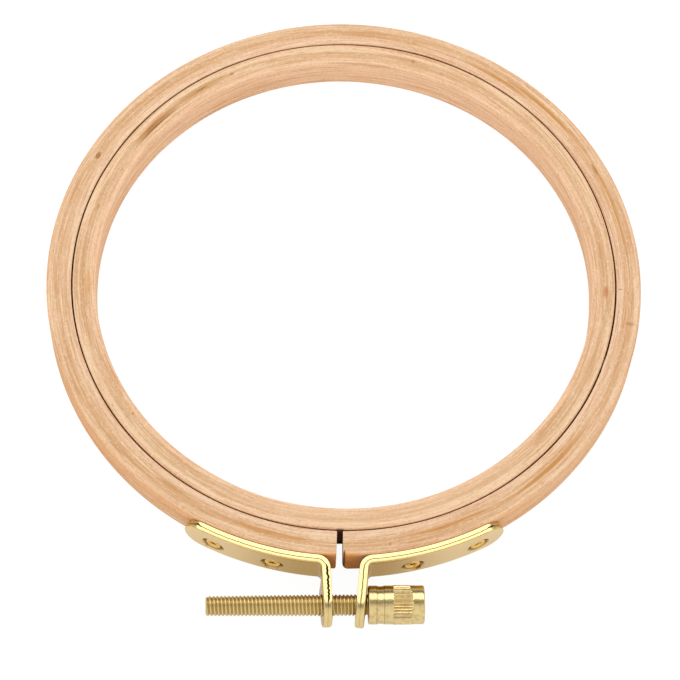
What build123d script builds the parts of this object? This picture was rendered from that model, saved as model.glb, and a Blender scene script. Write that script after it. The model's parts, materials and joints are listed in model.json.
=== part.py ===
from build123d import *

import math
import os

os.makedirs("parts", exist_ok=True)

# A round wooden embroidery hoop. The inner ring lifts out of the split outer ring, and a
# thumb screw through two bent brackets draws the split shut. Millimetres, +Z up, with the
# origin at the middle of the rings, half way up. The split faces -Y.

# Wooden rings
window_bore = 95.4
inner_wall = 4.35
ring_gap = 0.3
outer_wall = 4.75
ring_height = 7.5
window_edge_radius = 0.8
mating_edge_radius = 0.3
rim_edge_radius = 0.45
split_width = 1.15
left_split_corner = 0.35
right_split_corner = 0.95

# Bracket strips, bent from flat metal; angles are degrees round the hoop from the split
strip_thickness = 1.7
strip_width = 7.2
strip_seat = 0.03
strip_edge_radius = 0.2
bend_radius = 0.9
lug_lean_angle = 4.3
left_lug_face = 1.15
right_lug_face = 3.25
left_tip_angle = 29.3
right_tip_angle = 31.2
end_round_share = 0.98
outer_rim_share = 0.75

# Tubular rivets, with the head sunk in the wood and the tail rolled over in the strip
left_rivet_angles = (12.2, 23.5)
right_rivet_angles = (13.4, 26.0)
rivet_drop = 0.7
rivet_shank_radius = 1.2
rivet_hole_radius = 0.55
rivet_roll_radius = 0.42
rivet_roll_sink = 0.12
rivet_head_radius = 2.2
rivet_head_thickness = 0.6
rivet_head_sink = 0.1
rivet_hollow_depth = 2.4
rivet_fit = 0.03
recess_radius = 2.05
recess_depth = 0.95

# Thumb screw, whose knob end points a little towards the hoop; the lugs end just beyond it
screw_standoff = 8.4
screw_tilt_angle = 1.7
lug_overhang = 0.2
thread_diameter = 3.94
thread_pitch = 0.7
thread_depth = 0.42
thread_flat_share = 0.125
rod_tip_bevel = 0.45
rod_tail = 21.45
knob_socket_depth = 7.0
left_bore_clearance = 0.14
right_bore_clearance = 0.28
rod_fit = 0.03

# Knurled knob, from its face beside the lug outwards
knob_diameter = 7.1
knob_play = 0.05
knob_bevel = 0.3
knob_collar = 1.4
knob_groove_width = 1.3
knob_groove_depth = 0.24
knob_neck = 1.6
knurl_width = 3.6
knurl_height = 0.14
knurl_depth = 0.28
knurl_count = 28
knurl_flat_share = 0.25
knob_end = 2.1

overrun = 2.0

# Sizes that follow from these
half_height = ring_height / 2
window_radius = window_bore / 2
inner_rim_radius = window_radius + inner_wall
outer_bore_radius = inner_rim_radius + ring_gap
rim_radius = outer_bore_radius + outer_wall
strip_inner_radius = rim_radius + strip_seat
strip_outer_radius = strip_inner_radius + strip_thickness
half_strip = strip_width / 2
end_round_radius = half_strip * end_round_share
screw_y = -(rim_radius + screw_standoff)
thread_radius = thread_diameter / 2
root_radius = thread_radius - thread_depth
knob_radius = knob_diameter / 2
lean = math.radians(lug_lean_angle)
tilt = math.radians(screw_tilt_angle)
screw_plane = Plane(origin=(0, screw_y, 0), x_dir=(math.cos(tilt), math.sin(tilt), 0), z_dir=(0, 0, 1))
screw_axis = Axis(screw_plane.origin, screw_plane.x_dir)


def ring_blank(inside_radius, wall, inside_edge, outside_edge):
    """A plain ring of rectangular section with its four corners rounded."""
    with BuildPart() as blank:
        with BuildSketch(Plane.XZ) as section:
            with Locations((inside_radius + wall / 2, 0)):
                Rectangle(wall, ring_height)
            fillet(section.vertices().group_by(Axis.X)[0], inside_edge)
            fillet(section.vertices().group_by(Axis.X)[-1], outside_edge)
        revolve(axis=Axis.Z)
    return blank.part


def radial_plane(angle):
    """The upright plane through the hoop's axis at an angle from the split; its x runs outwards."""
    turn = math.radians(angle)
    outward = (math.sin(turn), -math.cos(turn), 0)
    sideways = (-math.cos(turn), -math.sin(turn), 0)
    return Plane(origin=(0, 0, -rivet_drop), x_dir=outward, z_dir=sideways)


def turned(plane, points):
    """A solid turned about the plane's x from a closed outline of points along and off that x."""
    with BuildPart() as solid:
        with BuildSketch(plane):
            with BuildLine():
                Polyline(*points, close=True)
            make_face()
        revolve(axis=Axis(plane.origin, plane.x_dir))
    return solid.part


def make_inner_ring():
    """The unbroken ring that the cloth is laid over."""
    with BuildPart() as inner_ring:
        add(ring_blank(window_radius, inner_wall, window_edge_radius, mating_edge_radius))
    return inner_ring.part


def make_outer_ring():
    """The split ring, drilled for the rivets, whose heads lie sunk in its bore."""
    shank_hole = rivet_shank_radius + rivet_fit
    head_hole = rivet_head_radius + rivet_fit
    head_floor = outer_bore_radius + rivet_head_sink + rivet_head_thickness + rivet_fit
    hole = [
        (outer_bore_radius - overrun, 0),
        (outer_bore_radius - overrun, head_hole),
        (head_floor, head_hole),
        (head_floor, shank_hole),
        (rim_radius + overrun, shank_hole),
        (rim_radius + overrun, 0),
    ]
    with BuildPart() as outer_ring:
        add(ring_blank(outer_bore_radius, outer_wall, mating_edge_radius, rim_edge_radius))
        middle = -(outer_bore_radius + rim_radius) / 2
        with BuildSketch(Plane.XY.offset(-half_height - overrun)):
            with Locations((0, middle)):
                Rectangle(split_width, outer_wall + 2 * overrun)
            for side, corner in ((-1, left_split_corner), (1, right_split_corner)):
                with BuildSketch(mode=Mode.PRIVATE) as waste:
                    with Locations((side * (split_width + corner) / 2, (corner - overrun) / 2 - rim_radius)):
                        Rectangle(corner, corner + overrun)
                    with Locations((side * (split_width / 2 + corner), corner - rim_radius)):
                        Circle(corner, mode=Mode.SUBTRACT)
                add(waste.sketch)
        extrude(amount=ring_height + 2 * overrun, mode=Mode.SUBTRACT)
        for angle in [-angle for angle in left_rivet_angles] + list(right_rivet_angles):
            add(turned(radial_plane(angle), hole), mode=Mode.SUBTRACT)
    return outer_ring.part


def lug_point(side, face, up_lug, radius=None):
    """A point on a lug's face, a length up the lug from the screw, or where it meets a circle."""
    foot = (face, -screw_y)
    slope = (math.sin(lean), -math.cos(lean))
    if radius is not None:
        along = foot[0] * slope[0] + foot[1] * slope[1]
        up_lug = -along - math.sqrt(along**2 - foot[0] ** 2 - foot[1] ** 2 + radius**2)
    return (side * (foot[0] + up_lug * slope[0]), -(foot[1] + up_lug * slope[1]))


def lug_outer_face(face):
    """How far from the split's middle the far side of a leaning lug lies, level with the screw."""
    return face + strip_thickness / math.cos(lean)


def lug_on_screw(side, face):
    """How far along the screw from the split's middle it passes through a leaning lug's face."""
    return face * math.cos(lean) / math.cos(lean + side * tilt)


def across_screw(place):
    """The plane square to the screw, a length along it from the split's middle."""
    origin = screw_plane.from_local_coords((place, 0, 0))
    return Plane(origin=origin, x_dir=screw_plane.y_dir, z_dir=screw_plane.x_dir)


def make_bracket(side, face, tip_angle, rivet_angles, bore_radius):
    """A strip that wraps the rim to a round tip one way and turns out to a drilled lug the other."""
    tip = math.radians(tip_angle)
    outer_face = lug_outer_face(face)
    end = -(half_strip * (1 + math.sin(lean)) + lug_overhang)

    def on_arc(radius, angle):
        return (side * radius * math.sin(angle), -radius * math.cos(angle))

    def on_outer_rim(edge):
        middle = edge @ 0.5
        across_lug = side * middle.X - face - (middle.Y - screw_y) * math.tan(lean)
        through_strip = math.hypot(middle.X, middle.Y) - strip_inner_radius
        outside = min(across_lug, through_strip) > strip_thickness * outer_rim_share
        return outside and not math.isclose(edge.length, strip_width)

    inner_corner = lug_point(side, face, 0, strip_inner_radius)
    outer_corner = lug_point(side, outer_face, 0, strip_outer_radius)
    inner_middle = (math.asin(abs(inner_corner[0]) / strip_inner_radius) + tip) / 2
    outer_middle = (math.asin(abs(outer_corner[0]) / strip_outer_radius) + tip) / 2
    lug_end_inner = lug_point(side, face, end)
    lug_end_outer = (
        lug_end_inner[0] + side * strip_thickness * math.cos(lean),
        lug_end_inner[1] - strip_thickness * math.sin(lean),
    )
    shank_hole = rivet_shank_radius + rivet_fit
    recess_slope = (recess_radius - shank_hole) / recess_depth
    recess = [
        (strip_inner_radius - overrun, 0),
        (strip_inner_radius - overrun, shank_hole),
        (strip_outer_radius - recess_depth, shank_hole),
        (strip_outer_radius + overrun, recess_radius + recess_slope * overrun),
        (strip_outer_radius + overrun, 0),
    ]
    with BuildPart() as bracket:
        with BuildSketch(Plane.XY.offset(-half_strip)) as plan:
            with BuildLine():
                ThreePointArc(
                    on_arc(strip_inner_radius, tip), on_arc(strip_inner_radius, inner_middle), inner_corner
                )
                Polyline(inner_corner, lug_end_inner, lug_end_outer, outer_corner)
                ThreePointArc(
                    outer_corner, on_arc(strip_outer_radius, outer_middle), on_arc(strip_outer_radius, tip)
                )
                Line(on_arc(strip_outer_radius, tip), on_arc(strip_inner_radius, tip))
            make_face()
            fillet(plan.vertices().sort_by_distance(inner_corner)[0], bend_radius + strip_thickness)
            fillet(plan.vertices().sort_by_distance(outer_corner)[0], bend_radius)
        extrude(amount=strip_width)
        lug_end = bracket.faces().sort_by(Axis.Y)[0]
        tip_end = bracket.faces().sort_by(Axis.X)[-1 if side > 0 else 0]
        ends = lug_end.edges().filter_by(Plane.XY) + tip_end.edges().filter_by(Plane.XY)
        fillet(ends, end_round_radius)
        fillet([edge for edge in bracket.edges() if on_outer_rim(edge)], strip_edge_radius)
        for angle in rivet_angles:
            add(turned(radial_plane(side * angle), recess), mode=Mode.SUBTRACT)
        with BuildSketch(across_screw(0)):
            Circle(bore_radius)
        extrude(amount=side * (outer_face + overrun), mode=Mode.SUBTRACT)
    return bracket.part


def make_rivet(angle):
    """A tubular rivet: a flat head in the ring's bore, and a tail rolled over in the strip's recess."""
    plane = radial_plane(angle)
    head_face = outer_bore_radius + rivet_head_sink
    head_back = head_face + rivet_head_thickness
    roll_middle = rivet_hole_radius + rivet_roll_radius
    roll_x = strip_outer_radius - rivet_roll_sink - rivet_roll_radius
    roll_start = roll_x - math.sqrt(rivet_roll_radius**2 - (rivet_shank_radius - roll_middle) ** 2)
    hollow_floor = roll_x - rivet_hollow_depth
    with BuildPart() as rivet:
        with BuildSketch(plane):
            with BuildLine():
                Polyline(
                    (hollow_floor, 0),
                    (head_face, 0),
                    (head_face, rivet_head_radius),
                    (head_back, rivet_head_radius),
                    (head_back, rivet_shank_radius),
                    (roll_start, rivet_shank_radius),
                )
                ThreePointArc(
                    (roll_start, rivet_shank_radius),
                    (roll_x + rivet_roll_radius, roll_middle),
                    (roll_x, rivet_hole_radius),
                )
                Polyline((roll_x, rivet_hole_radius), (hollow_floor, rivet_hole_radius), (hollow_floor, 0))
            make_face()
        revolve(axis=Axis(plane.origin, plane.x_dir))
    return rivet.part


def make_threaded_rod():
    """The screw's rod: one ridge for each turn of thread, from the bevelled tip into the knob."""
    tip = -(lug_on_screw(-1, lug_outer_face(left_lug_face)) + rod_tail)
    shank_end = knob_face + knob_socket_depth
    ridges = round((shank_end - tip - rod_tip_bevel) / thread_pitch - 1)
    flat = thread_pitch * thread_flat_share
    flank = (thread_pitch - 2 * flat) / 2
    outline = [(tip, 0), (tip, thread_radius - rod_tip_bevel)]
    for ridge in range(ridges):
        start = tip + rod_tip_bevel + ridge * thread_pitch
        outline += [
            (start, root_radius),
            (start + flank, thread_radius),
            (start + flank + flat, thread_radius),
            (start + 2 * flank + flat, root_radius),
        ]
    outline += [(shank_end, root_radius), (shank_end, 0)]
    return turned(screw_plane, outline)


def make_knob():
    """The turned knob: a grooved collar, a neck, a band of straight knurls and a plain end."""
    groove_start = knob_face + knob_bevel + knob_collar
    groove_end = groove_start + knob_groove_width
    knurl_start = groove_end + knob_neck
    knob_tip = knurl_start + knurl_width + knob_end
    tooth = 360 / knurl_count
    crest_radius = knob_radius + knurl_height
    valley_radius = crest_radius - knurl_depth
    teeth = []
    for place in range(knurl_count):
        for share, radius in (
            (-knurl_flat_share / 2, crest_radius),
            (knurl_flat_share / 2, crest_radius),
            (0.5 - knurl_flat_share / 4, valley_radius),
            (0.5 + knurl_flat_share / 4, valley_radius),
        ):
            turn = math.radians((place + share) * tooth)
            teeth.append((radius * math.cos(turn), radius * math.sin(turn)))
    with BuildPart() as knob:
        with BuildSketch(screw_plane):
            with BuildLine():
                Polyline(
                    (groove_start, knob_radius),
                    (knob_face + knob_bevel, knob_radius),
                    (knob_face, knob_radius - knob_bevel),
                    (knob_face, 0),
                    (knob_tip, 0),
                    (knob_tip, knob_radius - knob_bevel),
                    (knob_tip - knob_bevel, knob_radius),
                    (groove_end, knob_radius),
                )
                ThreePointArc(
                    (groove_end, knob_radius),
                    ((groove_start + groove_end) / 2, knob_radius - knob_groove_depth),
                    (groove_start, knob_radius),
                )
            make_face()
        revolve(axis=screw_axis)
        with BuildSketch(across_screw(knurl_start)):
            Circle(knob_radius + overrun)
            Circle(valley_radius, mode=Mode.SUBTRACT)
        extrude(amount=knurl_width, mode=Mode.SUBTRACT)
        with BuildSketch(across_screw(knurl_start)):
            with BuildLine():
                Polyline(*teeth, close=True)
            make_face()
        extrude(amount=knurl_width)
        with BuildSketch(across_screw(knob_face)):
            Circle(thread_radius + rod_fit)
        extrude(amount=knob_socket_depth + rod_fit, mode=Mode.SUBTRACT)
    return knob.part


# The knob turns just clear of the leaning lug, which stands out furthest beside the ring
right_lug_end = lug_on_screw(1, lug_outer_face(right_lug_face))
knob_face = right_lug_end + knob_radius * math.tan(lean + tilt) + knob_play

pieces = {
    "inner_ring": make_inner_ring(),
    "outer_ring": make_outer_ring(),
    "left_bracket": make_bracket(
        -1, left_lug_face, left_tip_angle, left_rivet_angles, thread_radius + left_bore_clearance
    ),
    "right_bracket": make_bracket(
        1, right_lug_face, right_tip_angle, right_rivet_angles, thread_radius + right_bore_clearance
    ),
    "left_rivet_by_lug": make_rivet(-left_rivet_angles[0]),
    "left_rivet_by_tip": make_rivet(-left_rivet_angles[1]),
    "right_rivet_by_lug": make_rivet(right_rivet_angles[0]),
    "right_rivet_by_tip": make_rivet(right_rivet_angles[1]),
    "threaded_rod": make_threaded_rod(),
    "knurled_knob": make_knob(),
}

for name, piece in pieces.items():
    piece.label = name
    export_step(piece, f"parts/{name}.step")
    box = piece.bounding_box()
    print(f"{name}: {len(piece.solids())} solid, {piece.volume:.1f} mm3, x {box.min.X:.2f} to {box.max.X:.2f}")
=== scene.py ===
# %% [markdown]
# # A wooden embroidery hoop
# Two thin beech rings lie one inside the other. The outer one is split, and a brass thumb screw
# through two riveted metal lugs draws the split shut, so that cloth is gripped between the rings.
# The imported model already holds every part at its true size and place, so this lesson only makes
# the parts' fine shapes and finishes. It starts by loading that model as a fixed frame.

# %% Load the hoop's frame
import json
import math

import bmesh
import bpy
from mathutils import Matrix, Vector, noise

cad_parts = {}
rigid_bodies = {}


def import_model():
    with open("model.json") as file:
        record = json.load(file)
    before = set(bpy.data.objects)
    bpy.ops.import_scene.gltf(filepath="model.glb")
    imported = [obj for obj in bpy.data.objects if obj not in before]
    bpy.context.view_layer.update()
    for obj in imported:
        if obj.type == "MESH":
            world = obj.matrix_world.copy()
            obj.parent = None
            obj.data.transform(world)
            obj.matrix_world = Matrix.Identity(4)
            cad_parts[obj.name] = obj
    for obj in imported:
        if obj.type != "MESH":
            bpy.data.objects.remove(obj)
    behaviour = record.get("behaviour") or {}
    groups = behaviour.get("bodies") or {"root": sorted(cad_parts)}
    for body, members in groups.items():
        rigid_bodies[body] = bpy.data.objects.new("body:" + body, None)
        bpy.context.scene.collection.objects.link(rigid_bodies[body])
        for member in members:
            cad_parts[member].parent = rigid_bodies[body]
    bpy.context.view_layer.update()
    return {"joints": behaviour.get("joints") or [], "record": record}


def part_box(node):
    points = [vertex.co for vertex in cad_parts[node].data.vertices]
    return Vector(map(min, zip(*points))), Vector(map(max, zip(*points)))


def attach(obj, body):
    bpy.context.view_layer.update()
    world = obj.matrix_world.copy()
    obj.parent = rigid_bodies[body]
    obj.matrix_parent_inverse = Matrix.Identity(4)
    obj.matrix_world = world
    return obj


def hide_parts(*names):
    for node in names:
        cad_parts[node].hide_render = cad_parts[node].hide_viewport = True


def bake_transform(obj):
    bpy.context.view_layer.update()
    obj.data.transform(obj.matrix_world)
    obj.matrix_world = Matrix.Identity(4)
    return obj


for leftover in list(bpy.data.objects):
    bpy.data.objects.remove(leftover)
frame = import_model()

# %% [markdown]
# ## Sizes
# All sizes below are in millimetres, and each mesh is scaled to metres when it is made. What the
# frame knows is read from it: the rim and height come from the outer ring's box, the joint from
# the inner ring's, and the window from the bore that the record states. The few sizes that no box
# shows, such as the strip's thickness, are named once here.

# %% Sizes read from the frame
mm = 0.001
ring_low, ring_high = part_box("outer_ring")
rim_radius = ring_high.x / mm
half_height = ring_high.z / mm
inner_rim_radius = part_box("inner_ring")[1].x / mm
window = next(mount for mount in frame["record"]["mounts"] if mount["name"] == "hoop_window")
window_radius = window["dims"]["r_mm"]
ring_gap = 0.3
outer_bore_radius = inner_rim_radius + ring_gap
strip_half_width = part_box("left_bracket")[1].z / mm
thread_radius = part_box("threaded_rod")[1].z / mm
tip_bevel = 0.45
knob_radius = 3.55
knob_bevel = 0.3
knob_socket = 7.0


def joint_named(name):
    return next(joint for joint in frame["joints"] if joint["name"] == name)


screw_middle = Vector(joint_named("screw_turn")["pos_m"]) / mm
screw_way = Vector(joint_named("screw_turn")["axis"]).normalized()
screw_y = screw_middle.y


def end_on_screw(node, side, radius):
    """How far along the tilted screw a round piece's end lies, where its end face has that radius."""
    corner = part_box(node)[1 if side > 0 else 0]
    return (corner.x / mm - side * radius * screw_way.y) / screw_way.x


rod_start = end_on_screw("threaded_rod", -1, thread_radius - tip_bevel)
knob_start = end_on_screw("knurled_knob", -1, knob_radius - knob_bevel)
knob_stop = end_on_screw("knurled_knob", 1, knob_radius - knob_bevel)
rod_end = knob_start + knob_socket
print(f"rim {rim_radius:.2f}, joint {inner_rim_radius:.2f}, window {window_radius:.2f} mm")
print(f"screw at y {screw_y:.2f}, rod {rod_start:.2f} to {rod_end:.2f}, knob to {knob_stop:.2f} mm")

# %% [markdown]
# ## The camera
# The photograph looks down on the hoop from about 64 degrees, through a long lens. A camera can be
# aimed by eye, but here its angles and distance were fitted to the rings' outlines, so they are
# written as such: a point to look at, two angles, a distance and a slight roll.

# %% Place the camera
view_elevation = math.radians(64.302)
view_azimuth = math.radians(-1.481)
view_roll = math.radians(2.639)
view_distance = 531.537
view_target = Vector((-0.616, -13.448, half_height))
lens_length = 148.235
sensor_width = 36.0

backward = Vector(
    (
        math.sin(view_azimuth) * math.cos(view_elevation),
        -math.cos(view_azimuth) * math.cos(view_elevation),
        math.sin(view_elevation),
    )
)
level = Vector((math.cos(view_azimuth), math.sin(view_azimuth), 0))
upward = backward.cross(level)
rolled_level = math.cos(view_roll) * level + math.sin(view_roll) * upward
rolled_up = math.cos(view_roll) * upward - math.sin(view_roll) * level
turn = Matrix((rolled_level, rolled_up, backward)).transposed().to_4x4()
lens = bpy.data.cameras.new("camera")
lens.lens = lens_length
lens.sensor_width = sensor_width
lens.clip_start = 0.01
camera = bpy.data.objects.new("camera", lens)
camera.matrix_world = Matrix.Translation((view_target + backward * view_distance) * mm) @ turn
bpy.context.scene.collection.objects.link(camera)
bpy.context.scene.camera = camera
print("camera at", [round(value, 3) for value in camera.location])

# %% [markdown]
# ## Writing materials as sums
# A material is a graph of nodes, which gets hard to read when every link is a line of code. Here a
# wire stands for one value in the graph. Adding or multiplying wires adds the Math node that does
# it, and every other node comes from one method, add, which takes the node's type, its settings
# and its sockets.


# %% Wires


class Wire:
    """A value on its way through a material; sums and products of wires add Math nodes."""

    def __init__(self, finish, socket):
        self.finish = finish
        self.socket = socket

    def maths(self, operation, first, second=0.0):
        return self.finish.add("ShaderNodeMath", {"operation": operation}, {0: first, 1: second})

    def __add__(self, other):
        return self.maths("ADD", self, other)

    def __radd__(self, other):
        return self.maths("ADD", other, self)

    def __sub__(self, other):
        return self.maths("SUBTRACT", self, other)

    def __rsub__(self, other):
        return self.maths("SUBTRACT", other, self)

    def __mul__(self, other):
        return self.maths("MULTIPLY", self, other)

    def __rmul__(self, other):
        return self.maths("MULTIPLY", other, self)

    def __truediv__(self, other):
        return self.maths("DIVIDE", self, other)

    def __gt__(self, other):
        return self.maths("GREATER_THAN", self, other)

    def __abs__(self):
        return self.maths("ABSOLUTE", self)

    def largest(self, other):
        return self.maths("MAXIMUM", self, other)


# %% Finishes made of wires


class Finish:
    """A material, or the world, whose nodes are added one by one."""

    def __init__(self, owner):
        owner.use_nodes = True
        self.owner = owner
        self.tree = owner.node_tree
        self.tree.nodes.clear()

    def add(self, kind, settings=None, sockets=None, output=0):
        node = self.tree.nodes.new(kind)
        for name, value in (settings or {}).items():
            if name == "stops":
                self.set_stops(node.color_ramp, value)
            else:
                setattr(node, name, value)
        for name, value in (sockets or {}).items():
            if isinstance(value, Wire):
                self.tree.links.new(value.socket, node.inputs[name])
            else:
                node.inputs[name].default_value = value
        return Wire(self, node.outputs[output]) if node.outputs else node

    @staticmethod
    def set_stops(ramp, stops):
        while len(ramp.elements) < len(stops):
            ramp.elements.new(1.0)
        for element, (place, colour) in zip(ramp.elements, stops):
            element.position = place
            element.color = colour

    def parts(self, vector):
        first = self.add("ShaderNodeSeparateXYZ", sockets={0: vector})
        return [Wire(self, output) for output in first.socket.node.outputs]

    def vector(self, x, y, z):
        return self.add("ShaderNodeCombineXYZ", sockets={0: x, 1: y, 2: z})

    def stored(self, name):
        """What a mesh keeps for each of its points under a name, such as "around" or "turned"."""
        return self.add("ShaderNodeAttribute", {"attribute_name": name}, output="Vector")

    def ramp(self, value, stops):
        return self.add("ShaderNodeValToRGB", {"stops": stops}, {0: value})

    def between(self, value, low, high):
        """0 below low, 1 above high, and smooth between them; low may be the larger."""
        sockets = {"Value": value, "From Min": low, "From Max": high}
        return self.add("ShaderNodeMapRange", {"interpolation_type": "SMOOTHSTEP"}, sockets)

    def mix(self, share, first, second, way="MIX"):
        settings = {"data_type": "RGBA", "blend_type": way}
        return self.add("ShaderNodeMix", settings, {0: share, 6: first, 7: second}, 2)

    def rest_place(self):
        """Where a point lies before any joint moves it, in metres."""
        return self.add("ShaderNodeTexCoord", output="Object")

    def cloudy(self, place, scale, detail):
        sockets = {"Vector": place, "Scale": scale, "Detail": detail}
        return self.add("ShaderNodeTexNoise", sockets=sockets)

    def bump(self, height, distance, strength):
        sockets = {"Height": height, "Distance": distance, "Strength": strength}
        return self.add("ShaderNodeBump", sockets=sockets)

    def surface(self, **sockets):
        names = {name.replace("_", " ").title(): value for name, value in sockets.items()}
        names = {name.replace("Ior", "IOR"): value for name, value in names.items()}
        shader = self.add("ShaderNodeBsdfPrincipled", sockets=names)
        self.add("ShaderNodeOutputMaterial", sockets={"Surface": shader})
        return self.owner


def new_finish(name):
    return Finish(bpy.data.materials.new(name))


def tone(red, green, blue):
    """A colour as a picture shows it, 0 to 255, in the linear numbers that a shader takes."""
    shares = [value / 255 for value in (red, green, blue)]
    linear = [s / 12.92 if s <= 0.04045 else ((s + 0.055) / 1.055) ** 2.4 for s in shares]
    return (*linear, 1.0)


print("tan beech is", [round(value, 3) for value in tone(222, 178, 132)])

# %% [markdown]
# ## Light and floor
# Polished brass shows what stands round it, so the light decides how the screw looks. The knob in
# the photograph mirrors a wide softbox above and a little behind it, a bright room in front and at
# the sides, a dim ceiling, a dark strip low at the back and a white table all round. A ready-made
# studio picture would give such reflections, but a world made of one ramp over the sky's angle
# needs no file. One area lamp is the softbox, and it also draws the soft shadow.

# %% The room's light
world = Finish(bpy.data.worlds.new("studio"))
sky = world.add("ShaderNodeTexCoord", output="Generated")
sky_x, sky_y, sky_z = world.parts(sky)
angle = world.add("ShaderNodeMath", {"operation": "ARCTAN2"}, {0: sky_y, 1: sky_z})
sweep = angle / math.pi + 0.5


def grey(level):
    return (level, level, level, 1.0)


room = world.ramp(
    sweep,
    [
        (0.06, grey(1.0)),
        (0.12, grey(1.05)),
        (0.36, grey(0.92)),
        (0.46, grey(0.34)),
        (0.54, grey(0.4)),
        (0.70, grey(0.7)),
        (0.80, grey(0.5)),
        (0.84, grey(0.16)),
        (0.91, grey(0.16)),
        (0.95, grey(1.0)),
    ],
)
side_level = 0.95
sides = world.between(abs(sky_x), 0.5, 0.9)
room = world.mix(sides, room, grey(side_level))
background = world.add("ShaderNodeBackground", sockets={"Color": room, "Strength": 1.0})
world.add("ShaderNodeOutputWorld", sockets={"Surface": background})
bpy.context.scene.world = world.owner

softbox_tilt = math.radians(30)
softbox_distance = 0.9
softbox_width = 1.1
softbox_depth = 0.66
softbox_radiance = 1.7
softbox = bpy.data.lights.new("softbox", "AREA")
softbox.shape = "RECTANGLE"
softbox.size = softbox_width
softbox.size_y = softbox_depth
softbox.energy = math.pi * softbox_width * softbox_depth * softbox_radiance
softbox_lamp = bpy.data.objects.new("softbox", softbox)
softbox_way = Vector((0, math.sin(softbox_tilt), math.cos(softbox_tilt)))
softbox_lamp.location = softbox_way * softbox_distance
softbox_lamp.rotation_euler = softbox_way.to_track_quat("Z", "Y").to_euler()
bpy.context.scene.collection.objects.link(softbox_lamp)
bpy.context.scene.view_settings.view_transform = "Standard"
print(f"softbox of {softbox.energy:.2f} W, {softbox_distance} m away")

# %% [markdown]
# The floor is a wide sheet just under the rings. It is white to the camera, and a share of it stays
# a plain matt surface, so the hoop's soft shadow still falls on it. Metal mirrors more of the matt
# share, because the table close to the lugs, in the hoop's shadow, darkens the metal's lower faces.

# %% The floor
floor_half = 3.0
floor_drop = 0.02
glow_share = 0.88
mirrored_glow_share = 0.55
glow_strength = 1.08
matt_level = 0.86


def make_floor():
    mesh = bpy.data.meshes.new("floor")
    z = -(half_height + floor_drop) * mm
    corners = [(x * floor_half, y * floor_half, z) for x, y in ((-1, -1), (1, -1), (1, 1), (-1, 1))]
    mesh.from_pydata(corners, [], [(0, 1, 2, 3)])
    sheet = new_finish("floor_white")
    paths = sheet.add("ShaderNodeLightPath").socket.node.outputs
    names = ("Is Camera Ray", "Is Transmission Ray", "Is Glossy Ray")
    seen, through, mirrored = [Wire(sheet, paths[name]) for name in names]
    share = (seen.largest(through) * glow_share).largest(mirrored * mirrored_glow_share)
    matt = sheet.add("ShaderNodeBsdfDiffuse", sockets={"Color": grey(matt_level)})
    glow = sheet.add("ShaderNodeEmission", sockets={"Color": grey(1.0), "Strength": glow_strength})
    mixed = sheet.add("ShaderNodeMixShader", sockets={0: share, 1: matt, 2: glow})
    sheet.add("ShaderNodeOutputMaterial", sockets={"Surface": mixed})
    mesh.materials.append(sheet.owner)
    floor = bpy.data.objects.new("floor", mesh)
    bpy.context.scene.collection.objects.link(floor)


make_floor()
print(f"floor {floor_drop} mm under the rings")

# %% [markdown]
# ## Making meshes from rows of points
# Every piece of the hoop is a row of points swept along something: a wall's section round a ring,
# a thread's profile along its helix, a circle along the knob. Blender can sweep with curves or
# modifiers, but rows in code let the section change on the way, and they keep the numbers visible.
# skin joins the rows with faces, weld cleans the mesh, and note keeps numbers on its points.

# %% Skin rows of points


def skin(name, rows, close_row=True, close_rows=False, cap=False):
    """A smooth mesh through rows of points in millimetres, each row joined to the next."""
    count = len(rows[0])
    points = [Vector(point) * mm for row in rows for point in row]
    faces = []
    for place in range(len(rows) if close_rows else len(rows) - 1):
        here = place * count
        there = (place + 1) % len(rows) * count
        for step in range(count if close_row else count - 1):
            after = (step + 1) % count
            faces.append((here + step, here + after, there + after, there + step))
    if cap:
        faces.append(tuple(range(count - 1, -1, -1)))
        faces.append(tuple(range(len(points) - count, len(points))))
    mesh = bpy.data.meshes.new(name)
    mesh.from_pydata(points, [], faces)
    weld(mesh)
    piece = bpy.data.objects.new(name, mesh)
    bpy.context.scene.collection.objects.link(piece)
    return piece


def weld(mesh, reach=2e-7):
    """Join points that coincide, drop faces with no area and turn every face outwards."""
    work = bmesh.new()
    work.from_mesh(mesh)
    bmesh.ops.remove_doubles(work, verts=work.verts, dist=reach)
    bmesh.ops.dissolve_degenerate(work, edges=work.edges, dist=reach)
    bmesh.ops.recalc_face_normals(work, faces=work.faces)
    work.to_mesh(mesh)
    work.free()


def note(piece, name, values):
    """Store one vector for each point of a piece, for its material to read."""
    attribute = piece.data.attributes.new(name, "FLOAT_VECTOR", "POINT")
    attribute.data.foreach_set("vector", [part for value in values for part in value])


# %% [markdown]
# ## The rings' shape
# Each ring is a strip of beech, planed, bent round and glued, with its corners sanded off. A lathe
# modifier would give a perfect ring, and that looks like plastic. Here the wall's section is
# swept by hand, and slow noise moves its two sides by a few hundredths of a millimetre, so that
# the dark line between the rings swells and narrows as it does in the photograph. The two mating
# walls each swell a little, the inner ring's above and the outer ring's below, as if the inner
# ring were held in place: no light then falls straight through the line.

# %% The wall's section
corner_steps = 6
side_steps = 12
ring_steps = 480
waver_reach = 0.05
waver_turns = 2.2
swell = 0.16
joint_nudge = 0.015
swell_reach = 0.3
upper_swell = 0.68
lower_swell = 0.32
quarter_turn = 0.5 * math.pi


def arc(middle, radius, start, stop, steps):
    """Points along a circle in a flat outline, from one angle to another."""
    angles = [start + (stop - start) * step / steps for step in range(steps + 1)]
    return [(middle[0] + radius * math.cos(a), middle[1] + radius * math.sin(a)) for a in angles]


def waver(angle, seed, turns=waver_turns):
    """Slow noise from -1 to 1 round the ring, which meets itself after a whole turn."""
    return noise.noise(Vector((math.cos(angle) * turns, math.sin(angle) * turns, seed)))


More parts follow.
